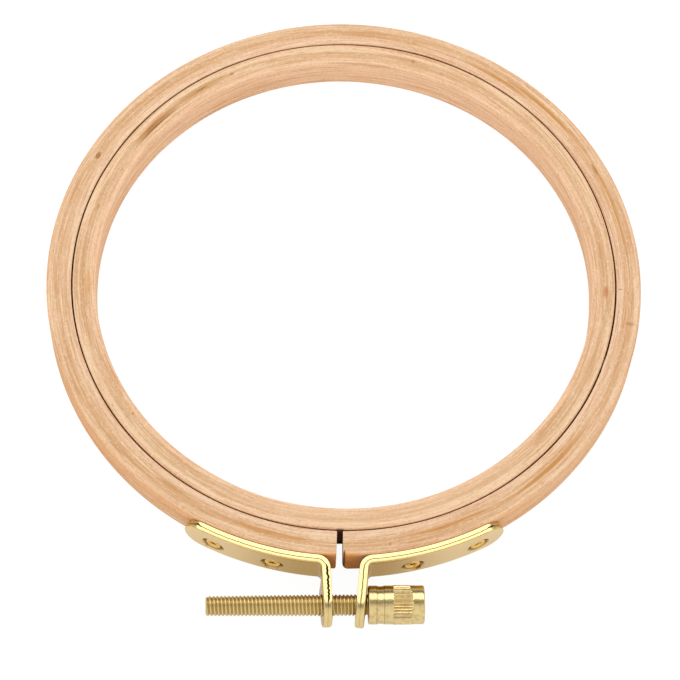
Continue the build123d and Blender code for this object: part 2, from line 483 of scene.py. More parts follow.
def wall_section(inside, outside, inside_edge, outside_edge, inside_swell=0.0, outside_swell=0.0):
    """Points round a ring's wall, as radius and height, with its four corners rounded."""
    corners = [
        (inside + inside_edge, inside_edge - half_height, inside_edge, 2 * quarter_turn),
        (outside - outside_edge, outside_edge - half_height, outside_edge, 3 * quarter_turn),
        (outside - outside_edge, half_height - outside_edge, outside_edge, 0.0),
        (inside + inside_edge, half_height - inside_edge, inside_edge, quarter_turn),
    ]
    points = []
    for x, z, radius, start in corners:
        corner = arc((x, z), radius, start, start + quarter_turn, corner_steps)
        if points:
            points += side_points(points[-1], corner[0], outside_swell, upper_swell)
        points += corner
    return points + side_points(points[-1], points[0], -inside_swell, lower_swell)


def side_points(first, last, bulge, middle):
    """The points that divide a side of the section; an upright side may swell about a height."""
    points = []
    for step in range(1, side_steps):
        share = step / side_steps
        radius, height = (a + (b - a) * share for a, b in zip(first, last))
        upright = abs(first[0] - last[0]) < abs(first[1] - last[1])
        off = min(abs(height / (2 * half_height) + 0.5 - middle) / swell_reach, 1.0)
        points.append((radius + upright * bulge * (0.5 + 0.5 * math.cos(math.pi * off)), height))
    return points


def note_grain(ring):
    """Where each point lies in the bent strip: its direction from the middle, radius and height."""
    places = [vertex.co / mm for vertex in ring.data.vertices]
    flat = [Vector((place.x, place.y)) for place in places]
    note(ring, "around", [(*spot.normalized(), 0.0) for spot in flat])
    note(ring, "across", [(spot.length, place.z, 0.0) for spot, place in zip(flat, places)])


def on_ring(angle, radius, height):
    """A point of the hoop; its angle is counted from the split, and grows towards the knob."""
    return (radius * math.sin(angle), -radius * math.cos(angle), height)


# %% The inner ring
window_edge = 0.8
window_inset_share = 0.2
edge_waver_share = 0.15
edge_waver_turns = 5
mating_edge = 0.22
rim_edge = 0.45


def make_inner_ring():
    rows = []
    for step in range(ring_steps):
        angle = 2 * math.pi * step / ring_steps
        inside = window_radius + waver_reach * (waver(angle, seed=3.1) - window_inset_share)
        outside = inner_rim_radius + joint_nudge + waver_reach * waver(angle, seed=7.7)
        edge = window_edge * (1 + edge_waver_share * waver(angle, 5.2, edge_waver_turns))
        section = wall_section(inside, outside, edge, mating_edge, outside_swell=swell)
        rows.append([on_ring(angle, *point) for point in section])
    return skin("inner_ring_wood", rows, close_rows=True)


inner_ring = make_inner_ring()
note_grain(inner_ring)
print(f"inner ring's wall {inner_rim_radius - window_radius:.2f} mm thick")

# %% [markdown]
# The outer ring is the same sweep, left open at the split. Its two ends were sanded by hand: the
# right one is clearly rounder than the left. Near an end the rows come closer together, and the
# outer wall draws in along a quarter circle. More rows also lie at the far side, where the ring
# bends when the screw is undone.

# %% The outer ring
split_half = 0.575
left_corner = 0.35
right_corner = 0.95
right_lift = 0.5
end_ease = 0.12
end_steps = 8
hinge_x, hinge_y, _ = [value / mm for value in joint_named("hoop_open")["pos_m"]]
bend_reach = 0.45
bend_steps = 8
middle_radius = (outer_bore_radius + rim_radius) / 2


def end_depths(corner):
    """How deep below an end's face the rows near it lie."""
    quarter = [quarter_turn * step / end_steps for step in range(end_steps + 1)]
    depths = {round(corner * (1 - math.cos(angle)), 4) for angle in quarter}
    depths |= {round(end_ease * (1 - math.cos(angle)), 4) for angle in quarter[::2]}
    return sorted(depths)


def drawn_in(depth, corner):
    """How far a quarter circle of that corner's radius draws the wall in at a depth."""
    return corner - math.sqrt(corner**2 - (corner - min(depth, corner)) ** 2)


def ring_stations():
    """The rows' angles from the split, each with its depth below the nearer end and its corner."""

    def from_split(depth):
        return math.asin((split_half + depth) / middle_radius)

    right = [(from_split(depth), depth, right_corner) for depth in end_depths(right_corner)]
    left = [(2 * math.pi - from_split(depth), depth, left_corner) for depth in end_depths(left_corner)]
    bend_angle = math.pi + math.atan2(-hinge_x, hinge_y)
    reach = bend_reach / middle_radius
    bend = [bend_angle + reach * step / bend_steps for step in range(-bend_steps, bend_steps + 1)]
    plain = [2 * math.pi * step / ring_steps for step in range(ring_steps)]
    plain = [a for a in plain if right[-1][0] < a < left[-1][0] and abs(a - bend_angle) > reach]
    whole = [(angle, math.inf, left_corner) for angle in sorted(plain + bend)]
    return right + whole + left[::-1]


def make_outer_ring():
    rows = []
    for angle, depth, corner in ring_stations():
        inside = outer_bore_radius - joint_nudge + waver_reach * waver(angle, seed=1.3)
        outside = rim_radius + waver_reach * (waver(angle, seed=9.4) - 1) - drawn_in(depth, corner)
        lift = right_lift * drawn_in(depth, corner) / corner if corner == right_corner else 0.0
        ease = drawn_in(depth, end_ease)
        middle = (inside + outside) / 2
        wall_share = 1 - ease / (outside - middle)
        height_share = 1 - ease / half_height
        row = []
        for radius, height in wall_section(inside, outside, mating_edge, rim_edge, inside_swell=swell):
            height *= height_share
            height += max(-height / half_height, 0.0) * lift
            row.append(on_ring(angle, middle + (radius - middle) * wall_share, height))
        rows.append(row)
    return skin("outer_ring_wood", rows, cap=True)


outer_ring = make_outer_ring()

# %% [markdown]
# Four rivets hold the brackets. Each lies in a hole through the outer ring, with its flat head
# sunk in the ring's bore, where the cloth would otherwise catch on it. The holes are cut with a
# turned cutter, as a stepped drill makes them: an outline swept round an axis. The same sweep makes
# the rivets and the knob further on.

# %% Turned shapes and cuts


def solid_outline(*stages):
    """An outline of places and radii, closed to the axis at both its ends."""
    return [(stages[0][0], 0), *stages, (stages[-1][0], 0)]


def turned(name, outline, origin, axis, steps, shape=None):
    """An outline of places along an axis and radii, swept round it; shape may change a radius."""
    axis = Vector(axis).normalized()
    side = Vector((0, 0, 1))
    other = axis.cross(side)
    rows = []
    for along, radius in outline:
        row = []
        for step in range(steps):
            angle = 2 * math.pi * step / steps
            reach = shape(along, radius, angle) if shape else radius
            off = reach * (math.cos(angle) * side + math.sin(angle) * other)
            row.append(Vector(origin) + axis * along + off)
        rows.append(row)
    return skin(name, rows)


def cut(piece, *cutters):
    """Take the cutters' shapes out of a piece for good."""
    for cutter in cutters:
        bite = piece.modifiers.new("cut", "BOOLEAN")
        bite.operation = "DIFFERENCE"
        bite.solver = "EXACT"
        bite.object = cutter
    graph = bpy.context.evaluated_depsgraph_get()
    mesh = bpy.data.meshes.new_from_object(piece.evaluated_get(graph))
    piece.modifiers.clear()
    piece.data = mesh
    for cutter in cutters:
        bpy.data.objects.remove(cutter)


# %% Drill the outer ring
rivet_angles = {
    "left_rivet_by_lug": -12.2,
    "left_rivet_by_tip": -23.5,
    "right_rivet_by_lug": 13.4,
    "right_rivet_by_tip": 26.0,
}
rivet_drop = 0.7
shank_radius = 1.2
head_radius = 2.2
head_thickness = 0.6
head_sink = 0.1
fit = 0.03
overrun = 2.0
drill_steps = 40


def rivet_line(degrees):
    """A rivet's axis: the point on the hoop's own axis and the direction outwards."""
    outward = on_ring(math.radians(degrees), 1.0, 0.0)
    return Vector((0, 0, -rivet_drop)), Vector(outward)


head_floor = outer_bore_radius + head_sink + head_thickness + fit
drill = solid_outline(
    (outer_bore_radius - overrun, head_radius + fit),
    (head_floor, head_radius + fit),
    (head_floor, shank_radius + fit),
    (rim_radius + overrun, shank_radius + fit),
)
cut(outer_ring, *[turned("drill", drill, *rivet_line(a), drill_steps) for a in rivet_angles.values()])
note_grain(outer_ring)
print(f"outer ring has {len(outer_ring.data.polygons)} faces with its four rivet holes")

# %% [markdown]
# ## Beech
# Beech is pale and pinkish, with growth bands that run along the strip and so round the ring, and
# with short dark flecks where its rays are cut. A picture of wood wrapped round a ring would show
# a seam. Noise in four dimensions has none: the direction from the middle gives two of them, so
# the pattern meets itself, and the radius and height give the others. Stretching that space
# along the ring draws the noise out into fibres.

# %% Fibres and spots in wood


def fibres(wood, length, width, seed, detail=2.0, roughness=0.5):
    """Noise from 0 to 1 drawn out along the ring, in fibres of about this length and width."""
    around_x, around_y, _ = wood.parts(wood.stored("around"))
    radius, height, _ = wood.parts(wood.stored("across"))
    reach = middle_radius / length
    place = wood.vector(around_x * reach, around_y * reach, radius / width)
    sockets = {"Vector": place, "W": height / width + seed, "Scale": 1.0, "Detail": detail}
    sockets["Roughness"] = roughness
    return wood.add("ShaderNodeTexNoise", {"noise_dimensions": "4D"}, sockets)


def spot(wood, degrees, radius, length, width, slope=0.0):
    """1 in the middle of a drawn-out spot on the ring, falling to 0 at its edge."""
    around_x, around_y, _ = wood.parts(wood.stored("around"))
    spot_radius, _, _ = wood.parts(wood.stored("across"))
    way_x, way_y, _ = on_ring(math.radians(degrees), 1.0, 0.0)
    along = (around_y * way_x - around_x * way_y) * radius
    ahead = (around_x * way_x + around_y * way_y) > 0
    off = spot_radius - radius - along * slope
    spread = (along / length) * (along / length) + (off / width) * (off / width)
    return wood.between(spread, 1.0, 0.2) * ahead


# %% The beech finish


def tinted(wood, colour, grain, tints):
    """A colour changed where a noise is high, and the other way where it is low."""
    for start, full, share, shade in tints:
        colour = wood.mix(wood.between(grain, start, full) * share, colour, tone(*shade))
    return colour


cloud_tints = (0.5, 0.68, 0.5, (226, 178, 128)), (0.48, 0.32, 0.4, (242, 198, 160))
band_tints = (0.5, 0.65, 0.75, (208, 150, 94)), (0.48, 0.35, 0.6, (250, 218, 176))
streak_tints = (0.52, 0.66, 0.62, (200, 140, 86)), (0.46, 0.35, 0.5, (255, 226, 190))
mottle_tints = (0.5, 0.7, 0.34, (208, 158, 112)), (0.48, 0.3, 0.34, (255, 228, 196))
painted_sheen_share, painted_sheen_shade = 0.05, (244, 246, 255)
painted_gap_shade, painted_lip_shadow, fleck_shade = (134, 76, 34), (104, 40, 12), (152, 98, 58)
mating_start, mating_full = 0.3, 0.1
mating_edge_start, mating_edge_full = 0.12, 0.5
lip_start, lip_full = 1.6, 0.9


def beech(name, inside, wall, stops, seed, joint, joint_way, spots):
    """Beech whose mean colour changes across the wall by stops, under fibres, flecks and spots."""
    wood = new_finish(name)
    radius, height, _ = wood.parts(wood.stored("across"))
    drift = fibres(wood, 38, 5.0, seed, 1.0) - 0.5
    across = (radius + drift * 1.2 - inside) / wall
    colour = wood.ramp(across, [(place, tone(*shade)) for place, shade in stops])
    streaks = fibres(wood, 7, 0.15, seed + 5, 3.0, 0.65)
    lines = fibres(wood, 2.2, 0.07, seed + 9, 2.0)
    colour = tinted(wood, colour, fibres(wood, 16, 1.3, seed + 1, 2.0), cloud_tints)
    colour = tinted(wood, colour, fibres(wood, 20, 0.4, seed + 3, 3.0, 0.6), band_tints)
    colour = tinted(wood, colour, streaks, streak_tints)
    colour = tinted(wood, colour, fibres(wood, 0.5, 0.3, seed + 15, 2.0), mottle_tints)
    # Painted sheen: a faint pale bluish tint over all the wood stands in for the gloss that its zero
    # specular level leaves out.
    colour = wood.mix(painted_sheen_share, colour, tone(*painted_sheen_shade))
    # Painted shade: the mating walls, below their top and bottom edges, take the brown of the shaded gap
    # between the rings.
    painted_gap_shade_mask = wood.between(radius, joint - joint_way * mating_start, joint - joint_way * mating_full)
    low, high = half_height - mating_edge_start, half_height - mating_edge_full
    painted_gap_shade_mask = painted_gap_shade_mask * wood.between(abs(height), low, high)
    colour = wood.mix(painted_gap_shade_mask * (0.45 + streaks * 0.4), colour, tone(*painted_gap_shade))
    # Painted shadow: a darker band along each mating wall's top and bottom edges, the part seen down the
    # narrow gap.
    painted_lip_shadow_mask = painted_gap_shade_mask * wood.between(abs(height), half_height - lip_start, half_height - lip_full)
    colour = wood.mix(painted_lip_shadow_mask * 0.3, colour, tone(*painted_lip_shadow))
    broken = wood.between(streaks, 0.3, 0.6) * 0.6 + 0.4
    for place, share, shade in spots:
        colour = wood.mix(spot(wood, **place) * broken * share, colour, tone(*shade))
    flecks = wood.between(fibres(wood, 1.1, 0.1, seed + 12, 1.0), 0.66, 0.76)
    colour = wood.mix(flecks * 0.6, colour, tone(*fleck_shade))
    relief = (streaks + lines * 0.6 - flecks * 0.4) * 0.5
    bump = wood.bump(relief, 4e-5, 0.5)
    rough = 0.5 + (streaks - 0.5) * 0.25 + painted_gap_shade_mask * 0.5
    return wood.surface(base_color=colour, roughness=rough, specular_ior_level=0.0, normal=bump)


def mark(degrees, radius, length, width, share, shade, slope=0.0):
    """One mark on the wood, natural ones and painted light alike: its place, half length, half width and
    colour.
    """
    place = {"degrees": degrees, "radius": radius, "length": length, "width": width, "slope": slope}
    return place, share, shade


# %% [markdown]
# The wood's plain colour changes across each wall, as the strip was cut through several growth
# rings. The marks that anyone would notice on this hoop are placed one by one: a darker scarf where
# the inner ring's ends are glued, orange streaks along the outer ring, a few brown spots no bigger
# than a pinhead and some cross ticks.

# %% Colours and marks of the two rings
inner_stops = [
    (0.02, (252, 204, 160)),
    (0.14, (244, 198, 154)),
    (0.30, (232, 186, 140)),
    (0.42, (220, 174, 124)),
    (0.62, (220, 175, 126)),
    (0.76, (246, 208, 164)),
    (0.90, (242, 202, 160)),
    (0.98, (238, 188, 140)),
]
outer_stops = [
    (0.04, (240, 198, 160)),
    (0.16, (244, 202, 164)),
    (0.32, (230, 184, 140)),
    (0.50, (220, 170, 116)),
    (0.64, (218, 168, 114)),
    (0.76, (234, 192, 148)),
    (0.90, (238, 194, 150)),
    (1.0, (246, 182, 120)),
]
brown, tan, orange, dark = (184, 124, 78), (208, 158, 106), (206, 146, 82), (128, 78, 44)
inner_marks = [
    # Painted shade: at the split, a near-black patch on the inner ring's outer wall darkens the view down
    # the slot.
    mark(0, inner_rim_radius + 0.15, 1.1, 0.4, 1.0, (48, 16, 6)),
    # Painted highlight: a long pale streak across the inner ring's faces.
    mark(8, 49.8, 36.0, 2.6, 0.3, (248, 210, 170)),
    mark(228.5, 50.0, 7.0, 0.8, 1.0, (196, 142, 88)),
    mark(215, 50.25, 8.0, 0.7, 0.9, (200, 152, 98)),
    mark(228.8, 50.0, 3.6, 0.4, 0.85, (176, 114, 66)),
    mark(229, 49.5, 6.4, 0.16, 1.0, (124, 68, 32), slope=-0.01),
    mark(215.2, 50.2, 1.8, 0.16, 0.9, (150, 98, 56)),
    mark(207.3, 50.3, 0.7, 0.4, 0.9, brown),
    mark(165, 50.3, 0.6, 0.5, 0.6, brown),
    mark(87.7, 50.28, 1.6, 0.6, 1.0, (204, 132, 88)),
    mark(48.6, 49.7, 2.4, 0.7, 0.6, tan),
    mark(97.5, 50.0, 2.6, 0.6, 0.5, tan),
    mark(273, 49.1, 3.2, 0.8, 0.6, (222, 166, 108)),
    mark(253.7, 49.95, 0.9, 0.4, 0.6, brown),
    mark(307.2, 49.17, 0.35, 0.3, 0.8, brown),
]
outer_marks = [
    mark(242.4, 54.77, 1.1, 0.5, 0.85, (156, 100, 56)),
    mark(134, 54.85, 13.0, 0.4, 1.0, orange),
    mark(147, 54.1, 8.5, 0.45, 1.0, orange),
    mark(46, 54.9, 14.0, 0.45, 1.0, orange),
    mark(21, 54.6, 11.0, 0.4, 1.0, orange),
    mark(347, 54.6, 9.0, 0.45, 0.9, orange),
    mark(107, 54.85, 13.0, 0.35, 1.0, orange),
    mark(117, 54.7, 1.6, 0.4, 0.7, brown),
    mark(326, 54.4, 5.5, 0.7, 0.65, (200, 146, 88)),
    mark(311.5, 55.8, 2.6, 0.22, 0.6, brown),
    mark(81, 55.3, 0.5, 1.1, 0.6, brown),
    mark(88.6, 53.05, 0.12, 0.6, 0.8, dark),
    mark(9.56, 55.47, 0.3, 0.2, 0.8, dark),
    # Painted light: a warm orange glow on the outer wall at both ends of the split, standing in for
    # bounced light.
    mark(0, rim_radius, 5.0, 0.5, 0.9, (255, 168, 84)),
    mark(0.9, 56.7, 0.22, 0.8, 0.9, (104, 56, 30)),
]
inner_wall = inner_rim_radius - window_radius
outer_wall = rim_radius - outer_bore_radius
inner_beech = beech(
    "beech_inner", window_radius, inner_wall, inner_stops, 2.0, inner_rim_radius, 1, inner_marks
)
outer_beech = beech(
    "beech_outer", outer_bore_radius, outer_wall, outer_stops, 31.0, outer_bore_radius, -1, outer_marks
)
print(f"{len(inner_marks)} marks on the inner ring and {len(outer_marks)} on the outer one")

# %% [markdown]
# Each piece gets its finish, its smooth shading and, where it has one, the body that it moves with.
# The outer ring is put on no body, and its place is baked into its mesh.

# %% Dress the rings


def dress(piece, finish, body, slot, *nodes, crease=40):
    """Give a piece its finish and shading, and let it stand for its nodes on their body."""
    piece.data.materials.clear()
    piece.data.materials.append(finish)
    piece.data.shade_smooth()
    piece.data.set_sharp_from_angle(angle=math.radians(crease))
    if body:
        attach(piece, body)
    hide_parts(*nodes)
    print(f"{piece.name}: {len(piece.data.polygons)} faces")


dress(inner_ring, inner_beech, "inner", "inner_ring_wood", "inner_ring")
dress(outer_ring, outer_beech, None, "outer_ring_wood", "outer_ring")
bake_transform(outer_ring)

# %% [markdown]
# ## The brackets
# Each bracket starts as a flat strip with round ends, stamped from plate, drilled and countersunk,
# and is then bent to the rim with its last stretch turned out as a lug. The mesh is made in the
# same order. A stamped edge isn't plain: the punch shears it smooth for about half its depth, and
# the rest tears, which leaves a dark wavy line along the strip's edge. Only the lugs' ends, past
# the screw, are softened.

# %% Sizes of the strip
strip_thickness = 1.7
strip_seat = 0.03
strip_radius = rim_radius + strip_seat
bend_inside = 0.9
bend_outside = bend_inside + strip_thickness
lug_lean = math.radians(4.3)
lug_overhang = 0.2
twist_run = 2.5
tear_run = 1.0
end_radius_share = 0.98
end_radius = strip_half_width * end_radius_share
stamped_outer_edge = 0.26
stamped_inner_edge = 0.1
soft_edge = 0.45
recess_radius = 2.2
recess_depth = 1.2
thread_play = 0.14
clear_play = 0.28
bore_steps = 64
blank_pitch = 0.22
edge_steps = 5
corner_stations = 20
face_insets = (0.5, 0.9, 1.6, 2.4, 3.1)
left_tear_growth = 1.5
torn_tip = 2.3
torn_tip_reach = 1.1
print(f"strip {2 * strip_half_width:.1f} mm wide and {strip_thickness} mm thick")

# %% The line that a strip follows


def held(value):
    """The value, held between 0 and 1."""
    return min(max(value, 0.0), 1.0)


class Path:
    """The line that a strip follows: round the rim from its tip, round the bend and down the lug."""

    def __init__(self, side, face, tip_degrees, twist_degrees, tear_growth):
        self.side = side
        self.twist = math.tan(math.radians(twist_degrees))
        self.tear_growth = tear_growth
        self.tip = math.radians(tip_degrees)
        self.down = Vector((-math.sin(lug_lean), -math.cos(lug_lean)))
        self.out = Vector((math.cos(lug_lean), -math.sin(lug_lean)))
        start = Vector((face, screw_y)) + self.out * bend_outside
        along = start.dot(self.down)
        reach = strip_radius + bend_outside
        fall = -along + math.sqrt(along**2 - start.length_squared + reach**2)
        self.centre = start + self.down * fall
        self.turn_start = math.atan2(self.centre.x, -self.centre.y)
        inward = -self.centre.normalized()
        self.bend = inward.angle(-self.out)
        self.rim_length = strip_radius * (self.tip - self.turn_start)
        self.bend_length = bend_outside * self.bend
        self.lug_length = -fall + strip_half_width * (1 + math.sin(lug_lean)) + lug_overhang
        self.screw_place = self.rim_length + self.bend_length - fall
        self.length = self.rim_length + self.bend_length + self.lug_length
        self.bore_slant = lug_lean + side * math.asin(screw_way.y)
        self.bore_place = self.screw_place - side * face * screw_way.y / math.cos(self.bore_slant)

    def bent(self, place):
        """Where a point of the flat strip goes: its length from the tip, depth and width."""
        along, depth, width = place
        if along <= self.rim_length:
            angle = self.tip - along / strip_radius
            x, y, _ = on_ring(angle, strip_radius + depth, 0)
        elif along <= self.rim_length + self.bend_length:
            share = (along - self.rim_length) / bend_outside
            way = Matrix.Rotation(share, 2) @ -self.centre.normalized()
            x, y = self.centre + way * (bend_outside - depth)
        else:
            foot = self.centre - self.out * bend_outside
            fall = along - self.rim_length - self.bend_length
            x, y = foot + self.down * fall + self.out * depth
            x += (strip_half_width - width) * self.twist * min(fall / twist_run, 1.0)
        return (self.side * x, y, width)

    def on_lug(self, along):
        """1 on the lug down to the screw and 0 elsewhere: there the torn line is wide and deep."""
        lug_start = self.rim_length + self.bend_length
        rise = held((along - lug_start + tear_run) / tear_run)
        return rise * held((self.screw_place + tear_run - along) / tear_run)

    def tear_share(self, along):
        """How wide the torn line is: widest on the left lug, and wide for a moment near each tip."""
        near_tip = max(1 - abs(along - torn_tip) / torn_tip_reach, 0.0)
        return max(self.on_lug(along) * self.tear_growth / left_tear_growth, near_tip)


left_path = Path(-1, face=1.15, tip_degrees=29.3, twist_degrees=4.0, tear_growth=left_tear_growth)
right_path = Path(1, face=3.25, tip_degrees=31.2, twist_degrees=0.6, tear_growth=0.3)
for path in (left_path, right_path):
    print(f"strip {path.length:.2f} mm long, its screw hole {path.screw_place:.2f} mm from the tip")

# %% [markdown]
# The flat strip is made as loops of its own outline: each loop lies a little further in, first
# down the stamped edge and then across the face to the middle line. So the whole strip is quads
# that follow its shape, and the edge can carry its rounded corners and torn line.

# %% The outline and the torn edge
tear_reach = 0.08
tear_shoulder_share = 1.6
tear_floor_share = 0.4
tear_depth = 0.06
tear_waver = 0.07
tear_jag = 0.22
tear_shift = 0.12
wave_scale = 0.9
ripple_scale = 3.1
ripple_share = 0.9
jag_scale = 2.6
tear_seen_reach = 1.3
tear_seen_inset = 0.1
end_smoothing = 0.95


def tear_depth_place(along, width, seed, lug_share):
    """How deep in the strip's thickness the torn line runs at a place of its edge."""
    wave = noise.noise(Vector((along * wave_scale, width * wave_scale, seed)))
    ripple = noise.noise(Vector((along * ripple_scale, width * ripple_scale, seed + 5)))
    jag = noise.noise(Vector((along * jag_scale, 0.5, seed + 9))) * tear_jag * lug_share
    middle = strip_thickness * (0.5 - tear_shift * lug_share)
    return middle + tear_waver * (wave + ripple_share * ripple) + jag


def blank_stations(length):
    """Round the strip's outline: the middle that each station draws in to, its way out and reach."""
    sides = round((length - 2 * end_radius) / blank_pitch)
    places = [end_radius + (length - 2 * end_radius) * step / sides for step in range(sides + 1)]
    quarter = [quarter_turn * step / corner_stations for step in range(1, corner_stations)]
    corner_middle = strip_half_width - end_radius
    stations = [((place, 0.0), (0.0, 1.0), strip_half_width) for place in places]
    for end, way in ((length - end_radius, 1), (end_radius, -1)):
        for rise, angles in ((way, quarter), (-way, quarter[::-1])):
            for angle in angles:
                out = (way * math.sin(angle), rise * math.cos(angle))
                stations.append(((end, rise * corner_middle), out, end_radius))
        if way == 1:
            stations += [((place, 0.0), (0.0, -1.0), strip_half_width) for place in places[::-1]]
    return stations


print(f"{len(blank_stations(left_path.length))} stations round the left strip")

# %% Stamp the flat strip


def edge_profile(torn_at, growth, softness):
    """Across the strip, from one face's middle line over the edge to the other: depth and inset."""
    outer_edge = stamped_outer_edge + (soft_edge - stamped_outer_edge) * softness
    inner_edge = stamped_inner_edge + (soft_edge - stamped_inner_edge) * softness
    reach = tear_reach * growth
    shoulder = reach * tear_shoulder_share
    floor = reach * tear_floor_share
    depth_in = tear_depth * growth
    insets = [strip_half_width, *face_insets[::-1]]
    profile = [(strip_thickness, inset) for inset in insets]
    outer_middle = (strip_thickness - outer_edge, outer_edge)
    profile += arc(outer_middle, outer_edge, 0.0, -quarter_turn, edge_steps)
    profile += [(torn_at + shoulder, 0.0), (torn_at + reach, 0.0), (torn_at + floor, depth_in)]
    profile += [(torn_at - floor, depth_in), (torn_at - reach, 0.0), (torn_at - shoulder, 0.0)]
    profile += arc((inner_edge, inner_edge), inner_edge, -quarter_turn, -2 * quarter_turn, edge_steps)
    return profile + [(0.0, inset) for inset in insets[::-1]]


def flat_strip(name, path, seed):
    rows = []
    for (middle_x, middle_w), (out_x, out_w), reach in blank_stations(path.length):
        edge = (middle_x + out_x * reach, middle_w + out_w * reach)
        row = []
        lug_share = path.tear_share(edge[0])
        torn_at = tear_depth_place(*edge, seed, lug_share)
        growth = 1 + left_tear_growth * lug_share
        for depth, inset in edge_profile(torn_at, growth, held(edge[0] - path.screw_place)):
            left = max(reach - inset, 0.0)
            width = middle_w + out_w * left
            limit = max(strip_half_width - inset, 0.0)
            row.append((middle_x + out_x * left, depth, max(-limit, min(limit, width))))
        rows.append(row)
    return skin(name, rows, close_row=False, close_rows=True)


# %% [markdown]
# A strip is drilled and countersunk while it is flat, and so is this mesh. Blender could bend it
# along a curve with a modifier, but the finish also needs to know where each point lies in the flat
# strip. So those places are noted on the mesh first, and then a formula bends it.

# %% Mark the edge, then drill and bend


def edge_distance(path, along, width):
    """How far in from the flat strip's outline a place lies."""
    nearest = min(max(along, end_radius), path.length - end_radius)
    if nearest == along:
        return strip_half_width - abs(width)
    corner = strip_half_width - end_radius
    rise = max(abs(width) - corner, 0.0)
    return end_radius - math.hypot(along - nearest, rise)


def note_strip(strip, path, seed):
    """Keep each point's place in the flat strip, and how torn it is, from before the bending."""
    places = [vertex.co / mm for vertex in strip.data.vertices]
    note(strip, "strip", places)
    marks = []
    for along, depth, width in places:
        inset = edge_distance(path, along, width)
        lug_share = path.tear_share(along)
        growth = 1 + left_tear_growth * lug_share
        off = abs(depth - tear_depth_place(along, width, seed, lug_share))
        torn = max(1.0 - off / (tear_reach * growth * tear_seen_reach), 0.0)
        if inset >= tear_seen_inset + tear_depth * growth:
            torn = 0.0
        past_screw = held(along - path.screw_place - 1)
        # The third value says how far painted shade darkens the torn line.
        marks.append((torn * (1 - end_smoothing * past_screw), inset, lug_share))
    note(strip, "edge", marks)


def make_bracket(name, path, rivets, bore_radius, seed):
    strip = flat_strip(name, path, seed)
    slope = (recess_radius - shank_radius - fit) / recess_depth
    countersink = solid_outline(
        (-overrun, shank_radius + fit),
        (strip_thickness - recess_depth, shank_radius + fit),
        (strip_thickness + overrun, recess_radius + slope * overrun),
    )
    bore = solid_outline((-overrun, bore_radius), (strip_thickness + overrun, bore_radius))
    bore_way = (-math.sin(path.bore_slant), math.cos(path.bore_slant), 0)
    bits = [turned("bit", bore, (path.bore_place, 0, 0), bore_way, bore_steps)]
    for rivet in rivets:
        place = strip_radius * (path.tip - math.radians(abs(rivet_angles[rivet])))
        bits.append(turned("bit", countersink, (place, 0, -rivet_drop), (0, 1, 0), bore_steps))
    cut(strip, *bits)
    note_strip(strip, path, seed)
    for vertex in strip.data.vertices:
        vertex.co = Vector(path.bent(vertex.co / mm)) * mm
    weld(strip.data)
    return strip


left_bore = thread_radius + thread_play
right_bore = thread_radius + clear_play
left_rivets = ("left_rivet_by_lug", "left_rivet_by_tip")
right_rivets = ("right_rivet_by_lug", "right_rivet_by_tip")
left_bracket = make_bracket("left_bracket_strip", left_path, left_rivets, left_bore, 4.0)
right_bracket = make_bracket("right_bracket_strip", right_path, right_rivets, right_bore, 11.0)

# %% [markdown]
# ## Rivets
# Tubular rivets hold the strips. The hollow end is pressed outwards until it rolls over into a
# ring, which sits in the countersink. An outline turned round each rivet's own axis gives the
# head in the wood, the shank and the rolled ring in one closed shape.

# %% Turn the rivets
roll_radius = 0.46
rivet_hole = 0.62
roll_sink = 0.1
hollow_depth = 2.4
rivet_steps = 56
roll_steps = 16
dent_reach = 0.04
dent_turns = 1.5
strip_outside = strip_radius + strip_thickness


def rivet_outline():
    head_face = outer_bore_radius + head_sink
    head_back = head_face + head_thickness
    soft = head_thickness / 4
    roll_place = strip_outside - roll_sink - roll_radius
    roll_middle = rivet_hole + roll_radius
    head = [(head_face, head_radius - soft), (head_face + soft, head_radius), (head_back, head_radius)]
    start = quarter_turn + math.acos((shank_radius - roll_middle) / roll_radius)
    roll = arc((roll_place, roll_middle), roll_radius, start, -quarter_turn, roll_steps)
    return solid_outline(*head, (head_back, shank_radius), *roll, (roll_place - hollow_depth, rivet_hole))


def note_turned(piece, origin, axis):
    """Where each point of a turned piece lies: its length along the axis and its radius."""
    places = [vertex.co / mm - Vector(origin) for vertex in piece.data.vertices]
    alongs = [place.dot(axis) for place in places]
    note(piece, "turned", [(a, (place - axis * a).length, 0.0) for a, place in zip(alongs, places)])


def dented(seed):
    """A rolled ring is never quite round: this moves its radius by a few hundredths."""

    def shape(along, radius, angle):
        rolled = along > strip_outside - roll_sink - 2 * roll_radius and radius > 0
        return radius + (dent_reach * waver(angle, seed, dent_turns) if rolled else 0.0)

    return shape


rivets = {}
for number, (node, angle) in enumerate(rivet_angles.items()):
    shape = dented(3.0 + number)
    origin, axis = rivet_line(angle)
    rivets[node] = turned(f"{node}_tube", rivet_outline(), origin, axis, rivet_steps, shape)
    note_turned(rivets[node], origin, axis)
print(f"{len(rivets)} rivets with rings {2 * (rivet_hole + 2 * roll_radius):.2f} mm across")

# %% [markdown]
# ## The threaded rod
# The rod is an M4 thread from its bevelled tip into the knob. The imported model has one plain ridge
# a turn; here the thread is a real helix. Each point of the profile winds forward by one pitch a
# turn, so a row's last point is the next turn's first, and the rows join without a seam. The
# crests are a little lower towards the tip, where the rolling starts.

# %% Wind the thread
pitch = 0.7
thread_depth = 0.27
thread_steps = 48
profile_steps = 12
crest_flatness = 1.5
tip_wear = 0.13
worn_length = 18.0
screw_side = Vector((0, 0, 1)).cross(screw_way)


